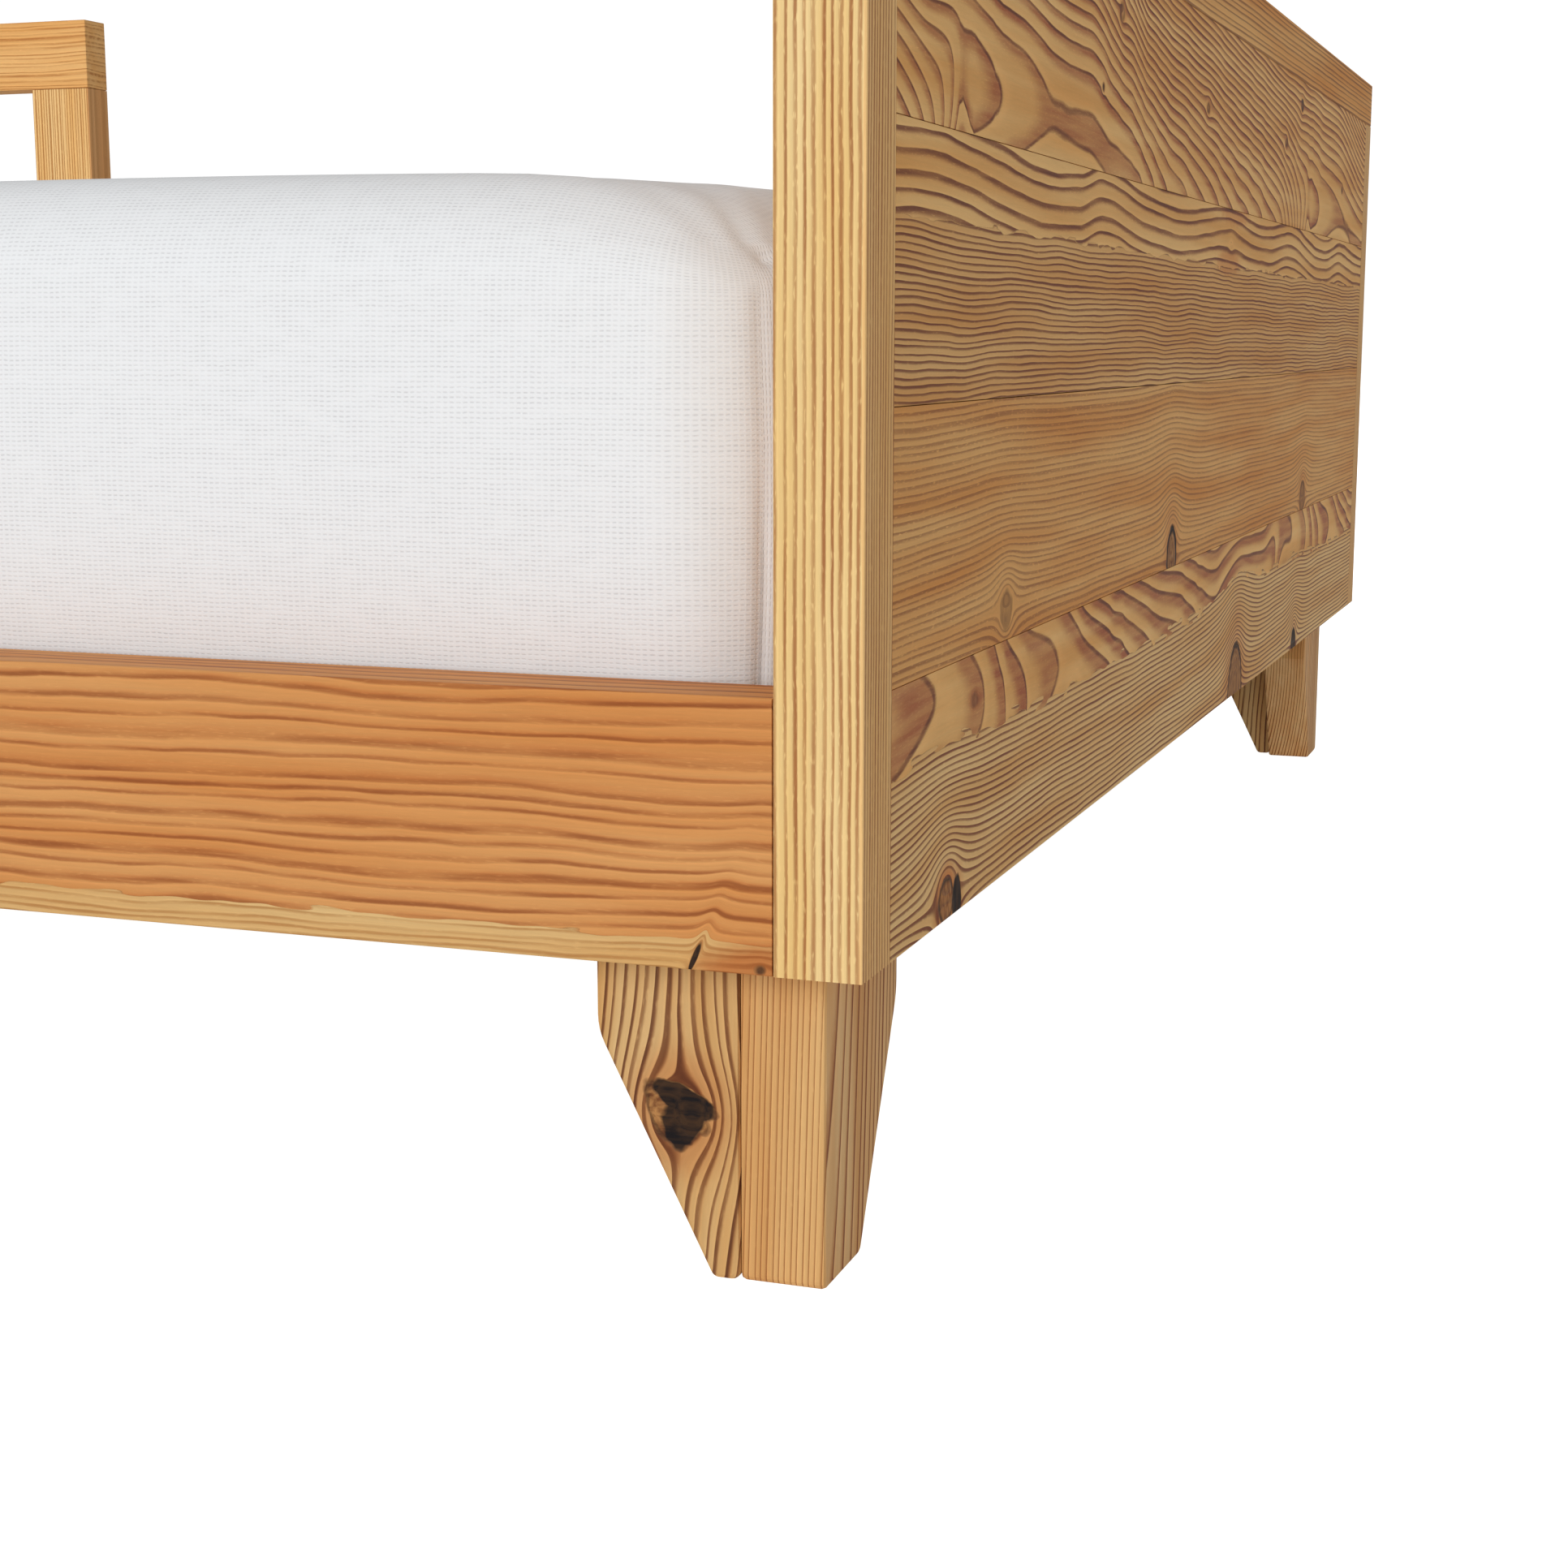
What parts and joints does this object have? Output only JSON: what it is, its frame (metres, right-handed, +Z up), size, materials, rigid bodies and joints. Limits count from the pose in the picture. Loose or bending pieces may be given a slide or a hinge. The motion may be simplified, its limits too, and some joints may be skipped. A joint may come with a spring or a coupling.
{
  "type": "toddler floor bed",
  "caption": "Low toddler floor bed in solid pine: plank ends on short L-shaped legs, side rails with slats, a guard frame along the back, and a loose mattress in a fitted sheet.",
  "frame": {"origin": "on the floor, under the middle of the bed", "axes": "+X along the bed towards the foot end, which is the pictured end; +Y across the bed towards the guard; +Z up"},
  "size_m": [1.367, 0.757, 0.355],
  "materials": {
    "honey_pine": "satin",
    "orange_pine": "satin",
    "brown_pine": "satin",
    "plain_pine": "matte",
    "zinc_steel": "satin",
    "mattress_cloth": "matte",
    "sheet_cloth": "matte"
  },
  "bodies": {
    "frame": {"head_front_post": "honey_pine", "head_back_post": "honey_pine", "head_low_plank": "brown_pine", "head_middle_plank": "brown_pine", "head_upper_plank": "brown_pine", "head_top_plank": "brown_pine", "head_cap": "honey_pine", "foot_front_post": "honey_pine", "foot_back_post": "honey_pine", "foot_low_plank": "brown_pine", "foot_middle_plank": "brown_pine", "foot_upper_plank": "brown_pine", "foot_top_plank": "brown_pine", "foot_cap": "honey_pine", "front_rail": "orange_pine", "back_rail": "orange_pine", "guard_cap": "orange_pine", "guard_head_post": "honey_pine", "guard_foot_post": "honey_pine", "front_cleat": "plain_pine", "back_cleat": "plain_pine", "slat_01": "plain_pine", "slat_02": "plain_pine", "slat_03": "plain_pine", "slat_04": "plain_pine", "slat_05": "plain_pine", "slat_06": "plain_pine", "slat_07": "plain_pine", "slat_08": "plain_pine", "slat_09": "plain_pine", "head_front_leg_side_board": "honey_pine", "head_front_leg_face_board": "honey_pine", "head_front_leg_block": "plain_pine", "head_front_leg_bolt": "zinc_steel", "head_front_leg_insert": "zinc_steel", "head_front_corner_block": "plain_pine", "head_front_rail_screw": "zinc_steel", "head_back_leg_side_board": "honey_pine", "head_back_leg_face_board": "honey_pine", "head_back_leg_block": "plain_pine", "head_back_leg_bolt": "zinc_steel", "head_back_leg_insert": "zinc_steel", "head_back_corner_block": "plain_pine", "head_back_rail_screw": "zinc_steel", "foot_front_leg_side_board": "honey_pine", "foot_front_leg_face_board": "honey_pine", "foot_front_leg_block": "plain_pine", "foot_front_leg_bolt": "zinc_steel", "foot_front_leg_insert": "zinc_steel", "foot_front_corner_block": "plain_pine", "foot_front_rail_screw": "zinc_steel", "foot_back_leg_side_board": "honey_pine", "foot_back_leg_face_board": "honey_pine", "foot_back_leg_block": "plain_pine", "foot_back_leg_bolt": "zinc_steel", "foot_back_leg_insert": "zinc_steel", "foot_back_corner_block": "plain_pine", "foot_back_rail_screw": "zinc_steel"},
    "mattress": {"mattress": "mattress_cloth", "fitted_sheet": "sheet_cloth"}
  },
  "joints": [
    {"name": "mattress_lift", "type": "slide", "parent": "frame", "child": "mattress", "axis": [0, 0, 1], "range_m": [0, 0.27]}
  ]
}
